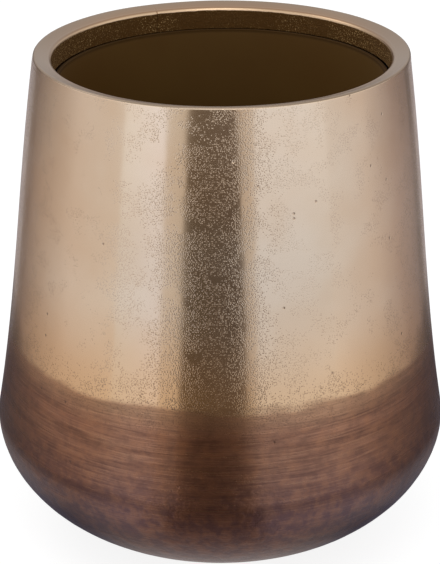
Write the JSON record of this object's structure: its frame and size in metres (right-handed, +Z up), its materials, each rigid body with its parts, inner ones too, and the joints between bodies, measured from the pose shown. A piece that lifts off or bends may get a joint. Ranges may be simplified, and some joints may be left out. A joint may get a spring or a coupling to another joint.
{
  "type": "metal plant pot",
  "caption": "Round metal planter with a tapered wall, a broad rim, a rounded lower bowl and a plastic liner that lifts out.",
  "frame": {"origin": "centre of the footprint on the floor, under the felt pads", "axes": "+Z up along the pot's axis, -Y towards the viewer of the picture"},
  "size_m": [0.4806, 0.4806, 0.526],
  "materials": {
    "gold_cast": "cast aluminium with a pale gold lacquer, ground top face, rough skirt",
    "gold_polished": "aluminium with a pale gold lacquer, polished, with casting pits",
    "bronze_patina": "aluminium with a brushed brown bronze patina, satin",
    "liner_plastic": "smooth dark brown plastic, satin",
    "plug_rubber": "matt black rubber",
    "pad_felt": "grey felt"
  },
  "bodies": {
    "pot": {"rim_ring": "gold_cast", "upper_wall": "gold_polished", "lower_bowl": "bronze_patina", "felt_pad_1": "pad_felt", "felt_pad_2": "pad_felt", "felt_pad_3": "pad_felt", "felt_pad_4": "pad_felt"},
    "liner": {"liner": "liner_plastic"},
    "plug": {"drain_plug": "plug_rubber"}
  },
  "joints": [
    {"name": "liner_lift", "type": "slide", "parent": "pot", "child": "liner", "axis": [0, 0, 1], "range_m": [0, 0.55]},
    {"name": "plug_pull", "type": "slide", "parent": "pot", "child": "plug", "axis": [0, 0, -1], "range_m": [0, 0.03]}
  ]
}
